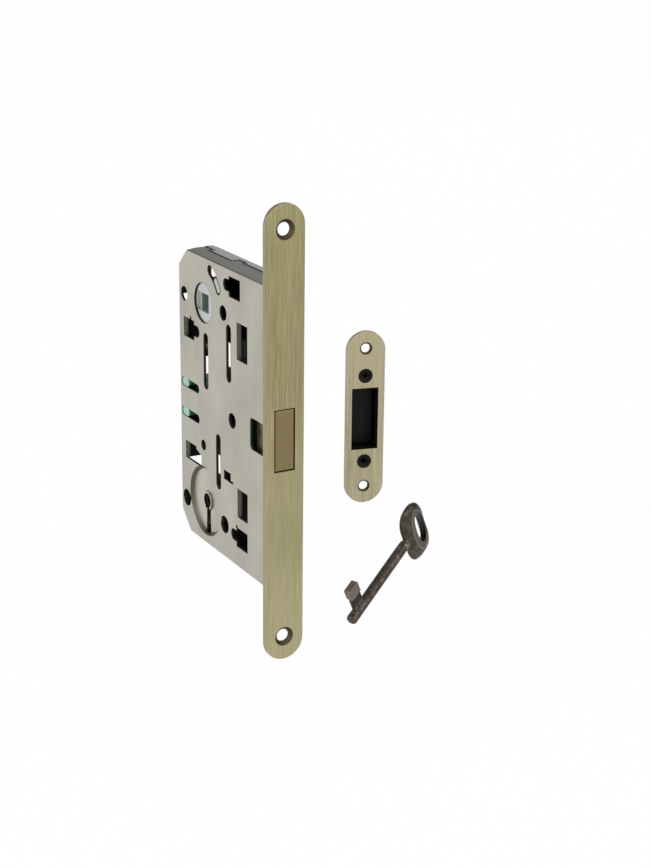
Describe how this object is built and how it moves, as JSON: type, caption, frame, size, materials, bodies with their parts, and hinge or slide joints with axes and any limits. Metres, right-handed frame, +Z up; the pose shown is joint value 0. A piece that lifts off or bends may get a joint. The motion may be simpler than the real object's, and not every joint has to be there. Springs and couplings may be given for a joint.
{
  "type": "mortise sashlock",
  "caption": "Mortise sashlock with a flush magnetic latch bolt, sprung follower and key-worked deadlock, with its strike, strike box and bow key.",
  "frame": {"origin": "on the front face of the forend, midway between its two screw holes", "axes": "+X out of the door edge along the forend screws, +Z up along the forend, +Y across the lock's thickness"},
  "size_m": [0.125, 0.0851, 0.196],
  "materials": {
    "case_pillars": "zinc-plated turned steel",
    "case_shell": "satin nickel plating on sheet steel",
    "cover_screws": "zinc-plated steel",
    "cover_shell": "satin nickel plating on sheet steel",
    "deadlock_slide": "zinc-plated pressed steel",
    "deadlock_studs": "bright steel",
    "draw_lever": "zinc-plated pressed steel",
    "draw_lever_stub": "zinc-plated steel",
    "follower": "pressure die-cast zinc, bare",
    "forend": "vertically brushed, aged brass, lacquered",
    "forend_rivets": "zinc-plated steel",
    "handle_spring": "spring wire",
    "handle_spring_seat": "moulded nylon, black",
    "keeper_plate": "zinc-plated steel",
    "key": "cast, dark bronze patina with worn edges",
    "latch_carrier": "moulded acetal, mint green",
    "latch_guides": "moulded nylon, black",
    "latch_head": "aged brass, satin",
    "latch_magnet": "nickel-plated magnet",
    "latch_pin": "bright steel",
    "latch_spring": "spring wire",
    "latch_spring_post": "zinc-plated steel",
    "lever_tumbler": "zinc-plated pressed steel",
    "magnet_holder": "moulded nylon, black",
    "strike_adjusters": "black oxide",
    "strike_box": "moulded nylon, black",
    "strike_magnet": "nickel-plated magnet",
    "strike_plate": "aged brass, satin",
    "tumbler_spring": "spring wire",
    "tumbler_stub": "zinc-plated steel"
  },
  "bodies": {
    "case": {"forend": "forend", "case_shell": "case_shell", "cover_shell": "cover_shell", "case_pillars": "case_pillars", "cover_screws": "cover_screws", "forend_rivets": "forend_rivets", "latch_guides": "latch_guides", "latch_spring": "latch_spring", "latch_spring_post": "latch_spring_post", "draw_lever_stub": "draw_lever_stub", "handle_spring": "handle_spring", "handle_spring_seat": "handle_spring_seat", "tumbler_stub": "tumbler_stub", "tumbler_spring": "tumbler_spring"},
    "latch": {"latch_head": "latch_head", "latch_magnet": "latch_magnet", "latch_carrier": "latch_carrier", "latch_pin": "latch_pin"},
    "follower": {"follower": "follower"},
    "draw_lever": {"draw_lever": "draw_lever"},
    "deadlock": {"deadlock_slide": "deadlock_slide", "deadlock_studs": "deadlock_studs"},
    "tumbler": {"lever_tumbler": "lever_tumbler"},
    "strike": {"strike_plate": "strike_plate", "strike_box": "strike_box", "strike_adjusters": "strike_adjusters", "magnet_holder": "magnet_holder", "strike_magnet": "strike_magnet", "keeper_plate": "keeper_plate"},
    "key": {"key": "key"}
  },
  "joints": [
    {"name": "latch_slide", "type": "slide", "parent": "case", "child": "latch", "axis": [1, 0, 0], "range_m": [0, 0.011], "stiffness_N_per_m": 25, "springref_m": -0.006, "deforming": ["latch_spring"]},
    {"name": "follower_turn", "type": "hinge", "parent": "case", "child": "follower", "pos_m": [-0.06, 0, 0.045], "axis": [0, -1, 0], "range_deg": [0, 22], "stiffness_Nm_per_rad": 0.3, "springref_deg": -17.19, "deforming": ["handle_spring"]},
    {"name": "draw_lever_turn", "type": "hinge", "parent": "case", "child": "draw_lever", "pos_m": [-0.0513, 0, 0.022], "axis": [0, -1, 0], "range_deg": [-27.2, 0]},
    {"name": "deadlock_lift", "type": "slide", "parent": "case", "child": "deadlock", "axis": [0, 0, 1], "range_m": [0, 0.005]},
    {"name": "tumbler_lift", "type": "hinge", "parent": "case", "child": "tumbler", "pos_m": [-0.0355, 0, -0.0165], "axis": [0, 1, 0], "range_deg": [0, 6.05], "stiffness_Nm_per_rad": 0.004, "springref_deg": -11.46},
    {"name": "strike_offset", "type": "slide", "parent": "case", "child": "strike", "axis": [0, 1, 0], "range_m": [0, 0.06]},
    {"name": "key_offset", "type": "slide", "parent": "case", "child": "key", "axis": [0, 1, 0], "range_m": [0, 0.06]}
  ],
  "couplings": [
    {"joint": "draw_lever_turn", "follows": "follower_turn", "ratio": -1.2305},
    {"joint": "tumbler_lift", "follows": "deadlock_lift", "rad_per_m": 20.944}
  ]
}
